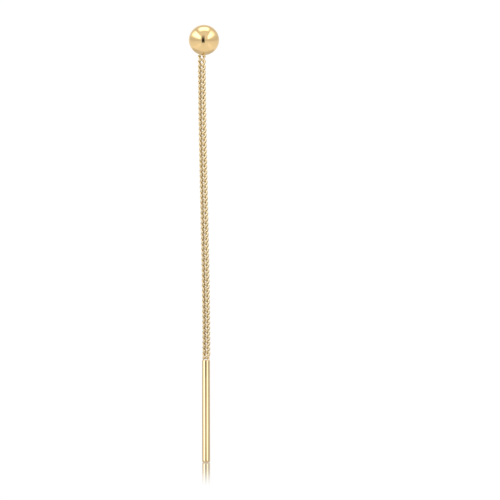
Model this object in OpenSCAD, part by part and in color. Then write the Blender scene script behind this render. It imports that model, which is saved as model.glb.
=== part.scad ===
// Chain earring: a polished ball, a fine plaited chain that hangs from the ball's back,
// and a slim round bar at the chain's end. The chain and bar hang as in use.
// X is to the right, Y to the back, Z up. The origin is where the ball's back meets the ear lobe.

/* [Ball] */
// Diameter of the ball
ball_d = 4; // [3:0.1:6]
// Wire thickness of the ring on the ball's back
ring_wire = 0.2; // [0.15:0.01:0.22]
// Radius of that ring, to the middle of its wire
ring_r = 0.42; // [0.42:0.01:0.5]
// Distance of the ring's middle behind the ball
ring_back = 0.5; // [0.48:0.01:0.6]

/* [Chain] */
// Number of chain links
link_count = 61; // [20:1:61]
// Distance from one link to the next
link_pitch = 0.69; // [0.68:0.01:0.9]
// Width of the chain, across the shoulders of a link
chain_w = 1.04; // [1.04:0.01:1.3]
// Depth of the chain, across the loops of a link
chain_depth = 1; // [0.96:0.01:1.3]
// Wire thickness of a link
link_wire = 0.16; // [0.12:0.01:0.16]
// Free space between one link and the next
link_gap = 0.1; // [0.1:0.01:0.12]
// Sideways sway of the chain from its top to its end
sway = 0.57; // [0:0.01:1]

/* [Bar] */
// Diameter of the bar
bar_d = 1.05; // [0.9:0.01:1.2]
// Length of the bar
bar_l = 13.65; // [8:0.05:20]
// Rounding of the bar's two ends
bar_round = 0.12; // [0.05:0.01:0.2]

/* [Hidden] */
$fn = 64;

ball_r = ball_d / 2;
neck_d = 0.5;
neck_sink = 0.2;
neck_out = ring_back - ring_r + ring_wire / 4;

wire_r = link_wire / 2;
wire_sides = 5;
// Height of the first link's top wires, which hang in the ring
chain_top = -0.03;
// How far a link's wire keeps from the middle of the wire that it bends round
bend_r = link_wire + link_gap;
// Straight cut that goes round such a bend and touches it at its middle
corner_cut = bend_r * tan(22.5);
// Half the spread of the two wires side by side at a link's top
waist_y = 0.1;
// Half the spread of the two wires of a loop
loop_y = chain_depth / 2 - wire_r;
// Half the length of a loop's straight lowest stretch
loop_flat = 0.6 * loop_y;
shoulder_x = chain_w / 2 - wire_r;
// How far below the top wires the shoulders turn inwards
shoulder_drop = 1.4 * bend_r;
loop_x = shoulder_x - bend_r;
// From a link's top wire down to its loops' lowest wire
link_drop = link_pitch + bend_r;

bar_ring_r = shoulder_x;
// The loops of the last link sit at the middle of the bar's ring
bar_ring_z = chain_top - (link_count - 1) * link_pitch - link_drop;
// Free space between the last link's loops and the bar
bar_gap = link_gap + 0.02;
bar_top = bar_ring_z - wire_r - bar_gap;
bar_r = bar_d / 2;

// Sideways place of the chain at a height z
function sway_at(z) = sway * (1 - cos(180 * min(1, max(0, z / bar_ring_z)))) / 2;

// One quarter of a link, from its top wire out over the shoulder and down to its loop
function quarter() = [
    [loop_x + corner_cut, waist_y, 0],
    [shoulder_x, waist_y, corner_cut - bend_r],
    [shoulder_x, (waist_y + loop_y) / 2, -shoulder_drop],
    [loop_x, loop_y, loop_flat - link_drop],
    [loop_x, loop_flat, -link_drop]
];

function flip(points) = [for (i = [len(points) - 1:-1:0]) points[i]];

// The closed middle line of a link, once round
function link_line() =
    let (q = quarter())
    concat(
        q,
        [for (p = flip(q)) [p.x, -p.y, p.z]],
        [for (p = q) [-p.x, -p.y, p.z]],
        [for (p = flip(q)) [-p.x, p.y, p.z]]
    );

function unit(v) = v / norm(v);

// The corners of the wire round the line's point k, turned to face away from the link's middle
function wire_ring(line, k) =
    let (
        n = len(line),
        along = unit(line[(k + 1) % n] - line[(k + n - 1) % n]),
        away = line[k] - [0, 0, -link_drop / 2],
        out = unit(away - (away * along) * along),
        side = cross(along, out)
    )
    [for (s = [0:wire_sides - 1])
        line[k] + wire_r * (cos(360 * s / wire_sides) * out + sin(360 * s / wire_sides) * side)];

module chain_link() {
    line = link_line();
    n = len(line);
    corners = [for (k = [0:n - 1]) each wire_ring(line, k)];
    faces = [for (k = [0:n - 1]) for (s = [0:wire_sides - 1])
        let (
            k2 = (k + 1) % n,
            s2 = (s + 1) % wire_sides,
            a = k * wire_sides + s,
            b = k * wire_sides + s2,
            c = k2 * wire_sides + s2,
            d = k2 * wire_sides + s
        )
        each [[a, b, c], [a, c, d]]];
    polyhedron(corners, faces);
}

module wire_torus(radius, wire) {
    rotate_extrude() translate([radius, 0]) circle(d = wire);
}

module ball() color("gold") {
    translate([0, -ball_r, 0]) sphere(r = ball_r);
    translate([0, -neck_sink, 0]) rotate([-90, 0, 0])
        cylinder(d = neck_d, h = neck_sink + neck_out);
    translate([0, ring_back, 0]) rotate([0, 90, 0]) wire_torus(ring_r, ring_wire);
}

module chain() color("goldenrod") {
    for (i = [0:link_count - 1]) {
        z = chain_top - i * link_pitch;
        lean = atan2(sway_at(z - link_drop) - sway_at(z), link_drop);
        translate([sway_at(z), ring_back, z]) rotate([0, -lean, 0]) chain_link();
    }
}

module bar() color("gold") {
    translate([sway, ring_back, 0]) {
        translate([0, 0, bar_ring_z]) rotate([90, 0, 0]) wire_torus(bar_ring_r, link_wire);
        rotate_extrude() bar_outline();
    }
}

module bar_outline() {
    bottom = bar_top - bar_l;
    translate([0, bottom + bar_round]) square([bar_r, bar_l - 2 * bar_round]);
    translate([0, bottom]) square([bar_r - bar_round, bar_l]);
    for (z = [bottom + bar_round, bar_top - bar_round])
        translate([bar_r - bar_round, z]) circle(r = bar_round);
}

ball();
chain();
bar();
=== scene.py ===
import math

import bmesh
import bpy
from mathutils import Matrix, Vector


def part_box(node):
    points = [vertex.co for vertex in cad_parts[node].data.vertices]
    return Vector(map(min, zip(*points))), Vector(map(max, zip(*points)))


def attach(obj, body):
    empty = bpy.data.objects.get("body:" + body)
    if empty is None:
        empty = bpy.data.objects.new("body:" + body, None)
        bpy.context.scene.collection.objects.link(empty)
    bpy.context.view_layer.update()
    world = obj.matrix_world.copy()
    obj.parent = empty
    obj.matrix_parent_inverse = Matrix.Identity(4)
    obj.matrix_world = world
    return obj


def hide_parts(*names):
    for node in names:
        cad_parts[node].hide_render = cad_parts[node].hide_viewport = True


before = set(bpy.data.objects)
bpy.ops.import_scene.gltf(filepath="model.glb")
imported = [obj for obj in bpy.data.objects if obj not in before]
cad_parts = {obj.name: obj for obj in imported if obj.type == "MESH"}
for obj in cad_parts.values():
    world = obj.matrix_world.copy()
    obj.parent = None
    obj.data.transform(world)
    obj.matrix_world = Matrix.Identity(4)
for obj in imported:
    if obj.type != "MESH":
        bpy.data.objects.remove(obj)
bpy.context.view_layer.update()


# The ball is a hollow gold bead, polished on a felt wheel until it mirrors the studio.
# A short neck and a ring of wire are soldered on its back, on its axis, and the chain
# hangs in that ring. Soldered metal is one body, so the three shapes are joined here.

def mm(value):
    return value / 1000


def linear_colour(hex_code):
    """An sRGB hex colour as the linear colour that a shader socket takes."""
    channels = [int(hex_code[i:i + 2], 16) / 255 for i in (1, 3, 5)]
    curve = [c / 12.92 if c <= 0.04045 else ((c + 0.055) / 1.055) ** 2.4 for c in channels]
    return (*curve, 1)


def add_node(tree, kind, inputs=None, **settings):
    """Adds one node with its settings; an input is a value or the socket it is linked to."""
    node = tree.nodes.new(kind)
    for name, value in settings.items():
        setattr(node, name, value)
    for socket, value in (inputs or {}).items():
        if isinstance(value, bpy.types.NodeSocket):
            tree.links.new(value, node.inputs[socket])
        else:
            node.inputs[socket].default_value = value
    return node


def mapped(tree, value, source, target, curve="LINEAR"):
    """Maps a value from its source range to a target range, each given as (from, to)."""
    ends = {"From Min": source[0], "From Max": source[1], "To Min": target[0], "To Max": target[1]}
    return add_node(
        tree, "ShaderNodeMapRange", {"Value": value, **ends}, interpolation_type=curve).outputs["Result"]


def gold_finish(name, bright, warm, patch, mark_spacing, mark_depth, roughness):
    """Gold alloy: two close tints in soft patches, and fine marks that the polish left.

    The marks' spacing is given along X, Y and Z, and the roughness as (least, most).
    """
    noise_range = (0.3, 0.7)
    material = bpy.data.materials.new(name)
    material.use_nodes = True
    tree = material.node_tree
    place = add_node(tree, "ShaderNodeTexCoord").outputs["Object"]
    tints = add_node(tree, "ShaderNodeTexNoise", {"Vector": place, "Scale": 1 / patch, "Detail": 2})
    tint = add_node(
        tree, "ShaderNodeMix",
        {"Factor": tints.outputs["Fac"], "A": linear_colour(bright), "B": linear_colour(warm)},
        data_type="RGBA")
    stretch = add_node(
        tree, "ShaderNodeMapping", {"Vector": place, "Scale": [1 / spacing for spacing in mark_spacing]})
    marks = add_node(
        tree, "ShaderNodeTexNoise",
        {"Vector": stretch.outputs["Vector"], "Scale": 1, "Detail": 3}).outputs["Fac"]
    bump = add_node(tree, "ShaderNodeBump", {"Height": marks, "Distance": mark_depth, "Strength": 1})
    shader = tree.nodes["Principled BSDF"]
    shader.inputs["Metallic"].default_value = 1
    tree.links.new(tint.outputs["Result"], shader.inputs["Base Color"])
    tree.links.new(mapped(tree, marks, noise_range, roughness), shader.inputs["Roughness"])
    tree.links.new(bump.outputs["Normal"], shader.inputs["Normal"])
    return material


def quarter_round(end_r, base, across, upward, steps):
    """Outline points of a quarter ellipse that ends at end_r, upward of its base."""
    turns = [math.pi / 2 * step / steps for step in range(steps + 1)]
    return [(end_r + across * (1 - math.sin(t)), base + upward * (1 - math.cos(t))) for t in turns]


def lathe(bm, outline, sides):
    """Turns an outline of (radius, height) round Z; a radius of 0 closes an end."""
    rings = []
    for radius, height in outline:
        if radius == 0:
            rings.append([bm.verts.new((0, 0, height))])
            continue
        angles = [2 * math.pi * k / sides for k in range(sides)]
        rings.append([bm.verts.new((radius * math.cos(a), radius * math.sin(a), height)) for a in angles])
    for low, high in zip(rings, rings[1:]):
        for k in range(sides):
            k2 = (k + 1) % sides
            corners = [low[k % len(low)], low[k2 % len(low)], high[k2 % len(high)], high[k % len(high)]]
            bm.faces.new(list(dict.fromkeys(corners)))


def torus(bm, radius, wire_r, sides, wire_sides):
    """A ring of round wire round Z."""
    rings = []
    for k in range(sides):
        a = 2 * math.pi * k / sides
        ring = []
        for s in range(wire_sides):
            b = 2 * math.pi * s / wire_sides
            out = radius + wire_r * math.cos(b)
            ring.append(bm.verts.new((out * math.cos(a), out * math.sin(a), wire_r * math.sin(b))))
        rings.append(ring)
    for k in range(sides):
        here, there = rings[k], rings[(k + 1) % sides]
        for s in range(wire_sides):
            s2 = (s + 1) % wire_sides
            bm.faces.new((here[s], there[s], there[s2], here[s2]))


def point_axis(bm, way):
    """Turns a shape that was made round Z, so that its axis points the given way."""
    turn = Vector((0, 0, 1)).rotation_difference(way).to_matrix()
    bmesh.ops.rotate(bm, verts=bm.verts, matrix=turn)


def new_piece(name, bm, material=None):
    bmesh.ops.recalc_face_normals(bm, faces=bm.faces)
    mesh = bpy.data.meshes.new(name)
    bm.to_mesh(mesh)
    bm.free()
    mesh.shade_smooth()
    piece = bpy.data.objects.new(name, mesh)
    bpy.context.scene.collection.objects.link(piece)
    if material:
        mesh.materials.append(material)
    return piece


def finished_mesh(piece):
    """The mesh that a piece's modifiers make of it."""
    evaluated = piece.evaluated_get(bpy.context.evaluated_depsgraph_get())
    return bpy.data.meshes.new_from_object(evaluated)


def clear_slivers(mesh):
    """Merges corners that all but meet, cuts the faces to triangles and drops the stray ones.

    Stray are faces that lie back to back on the same corners or hang on by one edge alone.
    """
    merge_within = mm(0.00005)
    bm = bmesh.new()
    bm.from_mesh(mesh)
    bmesh.ops.remove_doubles(bm, verts=bm.verts, dist=merge_within)
    bmesh.ops.triangulate(bm, faces=bm.faces)
    alike = {}
    for face in bm.faces:
        alike.setdefault(frozenset(face.verts), []).append(face)
    stray = {face for faces in alike.values() if len(faces) > 1 for face in faces}
    stray.update(face for face in bm.faces if sum(edge.is_boundary for edge in face.edges) > 1)
    bmesh.ops.delete(bm, geom=list(stray), context="FACES")
    bm.to_mesh(mesh)
    bm.free()


def solder(piece, *others, sharp_angle):
    """Joins other shapes to a piece as one body; its faces stay smooth up to the sharp angle."""
    for other in others:
        join = piece.modifiers.new("solder", "BOOLEAN")
        join.operation = "UNION"
        join.solver = "MANIFOLD"
        join.object = other
        bpy.context.view_layer.update()
        mesh = finished_mesh(piece)
        piece.modifiers.clear()
        piece.data = mesh
        clear_slivers(mesh)
        mesh.shade_smooth()
        mesh.set_sharp_from_angle(angle=math.radians(sharp_angle))
        bpy.data.objects.remove(other)


ball_low, ball_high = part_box("ball")
ball_r = (ball_high.x - ball_low.x) / 2
ball_middle = Vector((0, ball_low.y + ball_r, 0))
ring_wire_r = mm(0.1)
ring_r = mm(0.42)
ring_middle = ball_high.y - ring_r - ring_wire_r
neck_r = mm(0.22)
neck_flare = mm(0.16)
neck_root = -mm(0.12)
neck_foot = neck_root - mm(0.1)
neck_end = ring_middle - ring_r + ring_wire_r / 2

# Yellow gold under a mirror polish: the softboxes show in it with clean edges. The felt
# leaves marks a few hundredths of a millimetre apart, drawn coarser here so that they show.
polished_gold = gold_finish(
    "mirror_polished_yellow_gold", bright="#EFCF98", warm="#EBC98F", patch=mm(1.4),
    mark_spacing=(mm(0.3), mm(0.12), mm(0.3)), mark_depth=mm(0.0004), roughness=(0.05, 0.09))

ball_shape = bmesh.new()
bmesh.ops.create_icosphere(ball_shape, subdivisions=6, radius=ball_r)
bmesh.ops.translate(ball_shape, verts=ball_shape.verts, vec=ball_middle)
ball_piece = new_piece("polished_ball", ball_shape, polished_gold)

# The neck's foot is sunk in the ball, and a fillet of solder runs up from the ball's surface.
neck_shape = bmesh.new()
neck_outline = [(0, neck_foot), (neck_r + neck_flare, neck_foot)]
neck_outline += quarter_round(neck_r, neck_root, neck_flare, neck_flare, steps=8)
neck_outline += [(neck_r, neck_end), (0, neck_end)]
lathe(neck_shape, neck_outline, sides=48)
point_axis(neck_shape, (0, 1, 0))
neck_piece = new_piece("neck", neck_shape)

ring_shape = bmesh.new()
torus(ring_shape, ring_r, ring_wire_r, sides=64, wire_sides=20)
point_axis(ring_shape, (1, 0, 0))
bmesh.ops.translate(ring_shape, verts=ring_shape.verts, vec=(0, ring_middle, 0))
ring_piece = new_piece("ring", ring_shape)

solder(ball_piece, neck_piece, ring_piece, sharp_angle=35)
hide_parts("ball")
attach(ball_piece, "root")


# The chain is plaited from closed rings of drawn gold wire. Each ring is pinched, bent down
# in a U and pushed through both loops of the one above, so that it lies dense and even.
# Geometry Nodes draw one link round its line and hang the row of them along the sway.

def group_input(tree, name, kind):
    return tree.interface.new_socket(name, in_out="INPUT", socket_type=kind).identifier


def math_result(tree, operation, *values):
    return add_node(tree, "ShaderNodeMath", dict(enumerate(values)), operation=operation).outputs[0]


def link_line_points(shoulder_x, loop_x, bend_r, waist_y, loop_y, drop):
    """The middle line of one link, once round.

    A quarter runs from the link's top to its lowest point: the end of the straight top wire,
    the top of its bend, the shoulder where the link is widest, the loop's side and its bottom.
    """
    straight = 0.9
    bend_out, bend_down = 0.75, 0.3
    shoulder_out, shoulder_down = 1.1, 1.3
    side_up, bottom_out = 0.65, 0.5
    quarter = [
        (loop_x * straight, waist_y, 0),
        (loop_x + bend_r * bend_out, waist_y, -bend_r * bend_down),
        (shoulder_x, waist_y * shoulder_out, -bend_r * shoulder_down),
        (loop_x, loop_y, side_up * loop_y - drop),
        (loop_x, bottom_out * loop_y, -drop),
    ]
    back = [(x, -y, z) for x, y, z in reversed(quarter)]
    return quarter + back + [(-x, -y, z) for x, y, z in quarter] + [(-x, -y, z) for x, y, z in back]


chain_low, chain_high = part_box("chain")
bar_low, bar_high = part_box("bar")
link_count = 61
link_pitch = mm(0.69)
chain_w = mm(1.04)
chain_back = (chain_low.y + chain_high.y) / 2
chain_sway = (bar_low.x + bar_high.x) / 2
# The solids' links are of thinner wire, so that they stand clear of each other.
solid_wire_r = mm(0.08)
chain_top = chain_high.z - solid_wire_r
link_wire_r = mm(0.115)
link_steps = 52
link_wire_sides = 10
bend_r = mm(0.22)
shoulder_x = chain_w / 2 - link_wire_r
waist_y = link_wire_r
loop_y = (chain_high.y - chain_low.y) / 2 - link_wire_r
bar_ring_wire_r = mm(0.08)
bar_ring_r = mm(0.44)
bar_ring_z = bar_high.z - bar_ring_r - bar_ring_wire_r

link_curve = bpy.data.curves.new("link_line", "CURVE")
link_curve.dimensions = "3D"
link_spline = link_curve.splines.new("BEZIER")
link_points = link_line_points(
    shoulder_x, shoulder_x - bend_r, bend_r, waist_y, loop_y, link_pitch + bend_r)
link_spline.bezier_points.add(len(link_points) - 1)
for point, place in zip(link_spline.bezier_points, link_points):
    point.co = place
    point.handle_left_type = "AUTO"
    point.handle_right_type = "AUTO"
link_spline.use_cyclic_u = True
chain_line = bpy.data.objects.new("chain_line", link_curve)
bpy.context.scene.collection.objects.link(chain_line)

# Drawn wire keeps the lines of the die along it and is tumbled, not wheel polished, so its
# shine is a little softer than the ball's. Its tint, paler than the ball's, is painted sheen
# that stands in for the whitish highlights on the thin wire.
wire_gold = gold_finish(
    "tumbled_gold_wire_painted_sheen", bright="#E4D5B1", warm="#D8C29A", patch=mm(0.5),
    mark_spacing=(mm(0.1), mm(0.1), mm(0.25)), mark_depth=mm(0.0015), roughness=(0.12, 0.22))

chain_tree = bpy.data.node_groups.new("hang_links", "GeometryNodeTree")
chain_inputs = {name: group_input(chain_tree, name, kind) for name, kind in (
    ("Link line", "NodeSocketGeometry"),
    ("Wire radius", "NodeSocketFloat"),
    ("First link", "NodeSocketInt"),
    ("Links", "NodeSocketInt"),
    ("Pitch", "NodeSocketFloat"),
    ("Top", "NodeSocketVector"),
    ("Turn", "NodeSocketFloat"),
    ("Links to full turn", "NodeSocketFloat"),
    ("Sway", "NodeSocketFloat"),
    ("Hanging length", "NodeSocketFloat"),
    ("Metal", "NodeSocketMaterial"),
)}
chain_tree.interface.new_socket("Links", in_out="OUTPUT", socket_type="NodeSocketGeometry")
given = add_node(chain_tree, "NodeGroupInput").outputs
line = add_node(
    chain_tree, "GeometryNodeResampleCurve", {"Curve": given["Link line"], "Count": link_steps})
section = add_node(
    chain_tree, "GeometryNodeCurvePrimitiveCircle",
    {"Resolution": link_wire_sides, "Radius": given["Wire radius"]})
link = add_node(
    chain_tree, "GeometryNodeCurveToMesh",
    {"Curve": line.outputs["Curve"], "Profile Curve": section.outputs["Curve"]})
index = add_node(chain_tree, "GeometryNodeInputIndex").outputs["Index"]
every_second = 2.0
number = math_result(chain_tree, "MULTIPLY_ADD", index, every_second, given["First link"])
down = math_result(chain_tree, "MULTIPLY", number, given["Pitch"])
share = math_result(chain_tree, "DIVIDE", down, given["Hanging length"])
wave = math_result(chain_tree, "COSINE", math_result(chain_tree, "MULTIPLY", share, math.pi))
half_sway = math_result(chain_tree, "MULTIPLY", given["Sway"], 0.5)
aside = math_result(chain_tree, "MULTIPLY", math_result(chain_tree, "SUBTRACT", 1.0, wave), half_sway)
below = math_result(chain_tree, "MULTIPLY", down, -1.0)
offset = add_node(chain_tree, "ShaderNodeCombineXYZ", {"X": aside, "Z": below}).outputs["Vector"]
hang_at = add_node(
    chain_tree, "ShaderNodeVectorMath", {0: given["Top"], 1: offset}, operation="ADD").outputs[0]
row = add_node(chain_tree, "GeometryNodePoints", {"Count": given["Links"], "Position": hang_at})
twist = mapped(
    chain_tree, number, (0, given["Links to full turn"]), (0, given["Turn"]), curve="SMOOTHSTEP")
turned = add_node(chain_tree, "ShaderNodeCombineXYZ", {"Z": twist}).outputs["Vector"]
links = add_node(
    chain_tree, "GeometryNodeInstanceOnPoints",
    {"Points": row.outputs["Geometry"], "Instance": link.outputs["Mesh"], "Rotation": turned})
realized = add_node(
    chain_tree, "GeometryNodeRealizeInstances", {"Geometry": links.outputs["Instances"]})
metal = add_node(
    chain_tree, "GeometryNodeSetMaterial",
    {"Geometry": realized.outputs["Geometry"], "Material": given["Metal"]})
add_node(chain_tree, "NodeGroupOutput", {"Links": metal.outputs["Geometry"]})

# The links hang as two rows, each of every second link, so that no link of a row meets its
# like. The rows are then fused where neighbours touch, so that the chain is one body. The
# first link hangs square in the ball's ring, and the next ones turn a little further each.
link_turn = math.radians(-30)
chain_rows = []
for first, count in ((0, (link_count + 1) // 2), (1, link_count // 2)):
    hang = chain_line.modifiers.new("hang_links", "NODES")
    hang.node_group = chain_tree
    for name, value in (
            ("Wire radius", link_wire_r),
            ("First link", first),
            ("Links", count),
            ("Pitch", link_pitch),
            ("Top", (0, chain_back, chain_top)),
            ("Turn", link_turn),
            ("Links to full turn", 6.0),
            ("Sway", chain_sway),
            ("Hanging length", -bar_ring_z),
            ("Metal", wire_gold)):
        hang[chain_inputs[name]] = value
    row_mesh = finished_mesh(chain_line)
    row_mesh.shade_smooth()
    chain_row = bpy.data.objects.new("plaited_chain", row_mesh)
    bpy.context.scene.collection.objects.link(chain_row)
    chain_rows.append(chain_row)
    chain_line.modifiers.clear()
bpy.data.objects.remove(chain_line)
chain_piece, second_row = chain_rows
solder(chain_piece, second_row, sharp_angle=50)
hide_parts("chain")
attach(chain_piece, "root")


# The bar is a straight length of drawn gold rod with its two ends rounded over. It goes
# through the ear first. A ring is sunk in its top end and soldered, and holds the last link.
# In the photo the bar hangs a hair to the left of the chain's end.

bar_r = mm(0.525)
bar_round = mm(0.12)
bar_below_ring = mm(0.2)
bar_top = bar_ring_z - bar_below_ring
bar_left_of_chain = mm(0.045)
bar_x = chain_sway - bar_left_of_chain
bar_y = (bar_low.y + bar_high.y) / 2

# Yellow gold, burnished along its length: the faint lines of the draw plate run down the rod
# and pull its highlights out lengthwise. Its tint, greyer and darker than the ball's, is
# painted shade on the same gold.
rod_gold = gold_finish(
    "burnished_gold_rod_painted_shade", bright="#D8C098", warm="#D1B587", patch=mm(1.1),
    mark_spacing=(mm(0.08), mm(0.08), mm(2.5)), mark_depth=mm(0.0006), roughness=(0.03, 0.07))

bar_shape = bmesh.new()
bar_outline = [(0, bar_low.z)] + quarter_round(bar_r, bar_low.z, -bar_round, bar_round, steps=6)
bar_outline += [(radius, bar_top - (height - bar_low.z)) for radius, height in reversed(bar_outline)]
lathe(bar_shape, bar_outline, sides=64)
bmesh.ops.translate(bar_shape, verts=bar_shape.verts, vec=(bar_x, bar_y, 0))
bar_piece = new_piece("gold_bar", bar_shape, rod_gold)

bar_ring_shape = bmesh.new()
torus(bar_ring_shape, bar_ring_r, bar_ring_wire_r, sides=64, wire_sides=16)
point_axis(bar_ring_shape, (-math.sin(link_turn), math.cos(link_turn), 0))
bmesh.ops.translate(bar_ring_shape, verts=bar_ring_shape.verts, vec=(bar_x, bar_y, bar_ring_z))
bar_ring_piece = new_piece("bar_ring", bar_ring_shape)

solder(bar_piece, bar_ring_piece, sharp_angle=35)
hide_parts("bar")
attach(bar_piece, "root")


# The studio: a pale glossy floor just under the bar, a white surround, soft light from both
# sides and from above, three strips that draw the bright lines down the bar and the chain,
# and a dark card in front of the ball, which shows in it as the dark line at its middle.

def mixed(tree, factor, first, second):
    return add_node(
        tree, "ShaderNodeMix", {"Factor": factor, "A": first, "B": second},
        data_type="FLOAT").outputs["Result"]


def stage_plane(name, middle, across, upward, material):
    """A flat plane of the studio, which spans across and upward from its middle."""
    middle, across, upward = Vector(middle), Vector(across), Vector(upward)
    mesh = bpy.data.meshes.new(name)
    corners = [
        middle - across - upward, middle + across - upward,
        middle + across + upward, middle - across + upward]
    mesh.from_pydata(corners, [], [(0, 1, 2, 3)])
    mesh.uv_layers.new(name="UVMap").data.foreach_set("uv", (0, 0, 1, 0, 1, 1, 0, 1))
    mesh.materials.append(material)
    plane = bpy.data.objects.new(name, mesh)
    bpy.context.scene.collection.objects.link(plane)
    return plane


def softbox(name, middle, across, upward, cloth):
    """A softbox that the gold mirrors and the camera doesn't see."""
    stage_plane(name, middle, across, upward, cloth).visible_camera = False


def glowing_cloth(name, brightness, edge, soft_across, soft_upward):
    """A softbox's cloth, which fades to its edges; a fade of 0.5 reaches its middle."""
    material = bpy.data.materials.new(name)
    material.use_nodes = True
    tree = material.node_tree
    tree.nodes.remove(tree.nodes["Principled BSDF"])
    place = add_node(tree, "ShaderNodeTexCoord").outputs["UV"]
    sides = add_node(tree, "ShaderNodeSeparateXYZ", {"Vector": place}).outputs
    across, upward = (
        mapped(tree, math_result(tree, "PINGPONG", sides[axis], 0.5), (0, fade), (0, 1), curve="SMOOTHSTEP")
        for axis, fade in (("X", soft_across), ("Y", soft_upward)))
    strength = mapped(tree, math_result(tree, "MULTIPLY", across, upward), (0, 1), (edge, brightness))
    cloth = add_node(tree, "ShaderNodeEmission", {"Strength": strength})
    tree.links.new(cloth.outputs["Emission"], tree.nodes["Material Output"].inputs["Surface"])
    return material


# The floor is white acrylic lit from below. What the gold mirrors of it shines like acrylic,
# more at a low angle, and is dimmer in a round patch behind the bar, a painted shadow of the
# earring; towards the camera its gloss fades out a short way from the bar's foot.
floor_gap = mm(0.02)
floor_z = bar_low.z - floor_gap
floor_reach = 3.0
acrylic_ior = 1.49
acrylic_roughness = 0.08
seen_light = 1.02
gloss_at_foot = 0.8
gloss_fade = (mm(3.3), mm(21.7))
bar_foot = (bar_x, bar_y, 0)
# The round patch behind the bar is painted shade: a dimmer floor light that stands in for the earring's
# shadow.
shadow_patch_middle = (0, mm(60), 0)
shadow_patch_edge = (mm(50), mm(75))
shadow_patch_light = 0.68
floor_white = bpy.data.materials.new("lit_white_acrylic")
floor_white.use_nodes = True
floor_tree = floor_white.node_tree
floor_tree.nodes.remove(floor_tree.nodes["Principled BSDF"])
floor_place = add_node(floor_tree, "ShaderNodeTexCoord").outputs["Object"]
flat_place = add_node(
    floor_tree, "ShaderNodeVectorMath", {0: floor_place, 1: (1, 1, 0)},
    operation="MULTIPLY").outputs["Vector"]
foot_away, shadow_patch_away = (
    add_node(
        floor_tree, "ShaderNodeVectorMath", {0: flat_place, 1: spot},
        operation="DISTANCE").outputs["Value"]
    for spot in (bar_foot, shadow_patch_middle))
seen_direct = add_node(floor_tree, "ShaderNodeLightPath").outputs["Is Camera Ray"]
mirrored_gloss = add_node(floor_tree, "ShaderNodeFresnel", {"IOR": acrylic_ior}).outputs["Fac"]
seen_gloss = mapped(floor_tree, foot_away, gloss_fade, (gloss_at_foot, 0), curve="SMOOTHSTEP")
# The floor light that the gold mirrors, dimmed in the painted shadow patch.
mirrored_light = mapped(floor_tree, shadow_patch_away, shadow_patch_edge, (shadow_patch_light, 1), curve="SMOOTHSTEP")
lit_white = add_node(
    floor_tree, "ShaderNodeEmission",
    {"Strength": mixed(floor_tree, seen_direct, mirrored_light, seen_light)})
acrylic_gloss = add_node(
    floor_tree, "ShaderNodeBsdfGlossy", {"Color": (1, 1, 1, 1), "Roughness": acrylic_roughness})
floor_mix = add_node(
    floor_tree, "ShaderNodeMixShader",
    {0: mixed(floor_tree, seen_direct, mirrored_gloss, seen_gloss),
     1: lit_white.outputs["Emission"], 2: acrylic_gloss.outputs["BSDF"]})
floor_tree.links.new(floor_mix.outputs["Shader"], floor_tree.nodes["Material Output"].inputs["Surface"])
floor = stage_plane("floor", (0, 0, floor_z), (floor_reach, 0, 0), (0, floor_reach, 0), floor_white)

# The room is what the gold mirrors between the softboxes: brighter towards the camera than
# away from it, darker at the horizon, and white straight behind the earring. The camera
# itself sees plain white.
front_to_back, front_and_back_light = (-0.7, 0.3), (0.96, 0.78)
horizon_to_high, horizon_light = (0.05, 0.28), 0.74
behind_from_to = (0.75, 0.9)
world = bpy.data.worlds.new("white_surround")
bpy.context.scene.world = world
world.use_nodes = True
world_tree = world.node_tree
room_place = add_node(world_tree, "ShaderNodeTexCoord").outputs["Generated"]
room_way = add_node(world_tree, "ShaderNodeSeparateXYZ", {"Vector": room_place}).outputs
room_light = mapped(world_tree, room_way["Y"], front_to_back, front_and_back_light)
by_height = mapped(world_tree, room_way["Z"], horizon_to_high, (horizon_light, room_light))
behind = mapped(world_tree, room_way["Y"], behind_from_to, (0, 1))
room = mixed(world_tree, behind, by_height, 1.0)
camera_ray = add_node(world_tree, "ShaderNodeLightPath").outputs["Is Camera Ray"]
background = world_tree.nodes["Background"]
world_tree.links.new(mixed(world_tree, camera_ray, room, 1.0), background.inputs["Strength"])
background.inputs["Color"].default_value = (1, 1, 1, 1)

side_cloth = glowing_cloth(
    "side_softbox_cloth", brightness=2.6, edge=0.84, soft_across=0.4, soft_upward=0.3)
top_cloth = glowing_cloth(
    "top_softbox_cloth", brightness=2.6, edge=0.84, soft_across=0.3, soft_upward=0.35)
softbox(
    "left_softbox", middle=(-0.4, -0.18, 0.29), across=(0, 0.68, 0), upward=(0, 0, 0.21),
    cloth=side_cloth)
softbox(
    "right_softbox", middle=(0.4, -0.42, 0.36), across=(0, 0.7, 0), upward=(0, 0, 0.25),
    cloth=side_cloth)
softbox(
    "top_softbox", middle=(0.01, 0.11, 0.5), across=(0.33, 0, 0), upward=(0, 0.26, 0),
    cloth=top_cloth)


def strip_light(name, side_turn, away, across, low, high, brightness, lit):
    """An upright strip of light, which lights only the pieces it is given.

    It stands away from the bar's axis, turned by side_turn degrees from the front to the right.
    """
    light = bpy.data.lights.new(name, "AREA")
    light.shape = "RECTANGLE"
    light.size = across
    light.size_y = high - low
    light.energy = brightness * math.pi * light.size * light.size_y
    strip = bpy.data.objects.new(name, light)
    way = Vector((math.sin(math.radians(side_turn)), -math.cos(math.radians(side_turn)), 0))
    strip.location = way * away + Vector((bar_x, bar_y, (low + high) / 2))
    strip.rotation_euler = way.to_track_quat("Z", "Y").to_euler()
    strip.visible_camera = False
    strip.light_linking.receiver_collection = bpy.data.collections.new(name)
    for piece in lit:
        strip.light_linking.receiver_collection.objects.link(piece)
    bpy.context.scene.collection.objects.link(strip)


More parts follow.
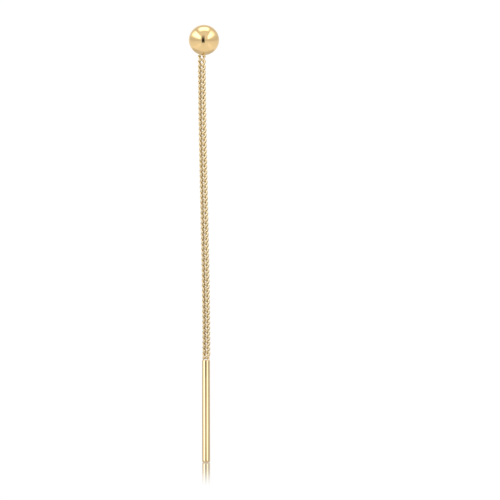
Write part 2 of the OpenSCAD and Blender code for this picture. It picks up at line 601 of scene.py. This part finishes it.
# The bar's two strips stand so close to it that it mirrors them down to its foot.
bar_strip = {"away": mm(1.6), "across": mm(0.7), "low": floor_z, "high": bar_high.z + mm(1)}
strip_light("bar_left_strip", side_turn=-55.4, brightness=2.8, lit=(bar_piece, floor), **bar_strip)
strip_light("bar_right_strip", side_turn=25.6, brightness=1.6, lit=(bar_piece, floor), **bar_strip)
strip_light(
    "chain_strip", side_turn=40, away=mm(60), across=mm(30), low=bar_high.z, high=mm(20),
    brightness=1.3, lit=(chain_piece,))

# The camera: a long lens, a little to the left of the earring and a little above level, as
# the horizon in the ball shows. The ball's middle and the scale in the photo place it.
photo_px = 500
px_per_mm = 7.65
ball_px = (203.95, 40.0)
camera_turn = math.radians(7.0)
camera_rise = math.radians(7.0)
camera_away = 0.8
sensor = 36
camera_data = bpy.data.cameras.new("camera")
camera_data.sensor_width = sensor
camera_data.lens = sensor * camera_away / mm(photo_px / px_per_mm)
camera_data.clip_end = 20
camera = bpy.data.objects.new("camera", camera_data)
right = Vector((math.cos(camera_turn), -math.sin(camera_turn), 0))
level = Vector((math.sin(camera_turn), math.cos(camera_turn), 0))
ahead = level * math.cos(camera_rise) - Vector((0, 0, math.sin(camera_rise)))
upward = right.cross(ahead)
aim = ball_middle + right * mm((photo_px / 2 - ball_px[0]) / px_per_mm)
aim -= upward * mm((photo_px / 2 - ball_px[1]) / px_per_mm)
camera.location = aim - ahead * camera_away
camera.rotation_euler = ahead.to_track_quat("-Z", "Y").to_euler()
bpy.context.scene.collection.objects.link(camera)
bpy.context.scene.camera = camera

# The dark card hangs between the ball and the camera, which doesn't see it.
card_away, card_left, card_up = 0.2, 0.019, 0.01
card_across, card_upward = right * 0.046, (0, 0, 0.2)
card_dark = glowing_cloth("dark_card", brightness=0.03, edge=0.8, soft_across=0.14, soft_upward=0.5)
card_middle = ball_middle - level * card_away - right * card_left + Vector((0, 0, card_up))
softbox("camera_card", middle=card_middle, across=card_across, upward=card_upward, cloth=card_dark)

bpy.context.scene.view_settings.view_transform = "Standard"
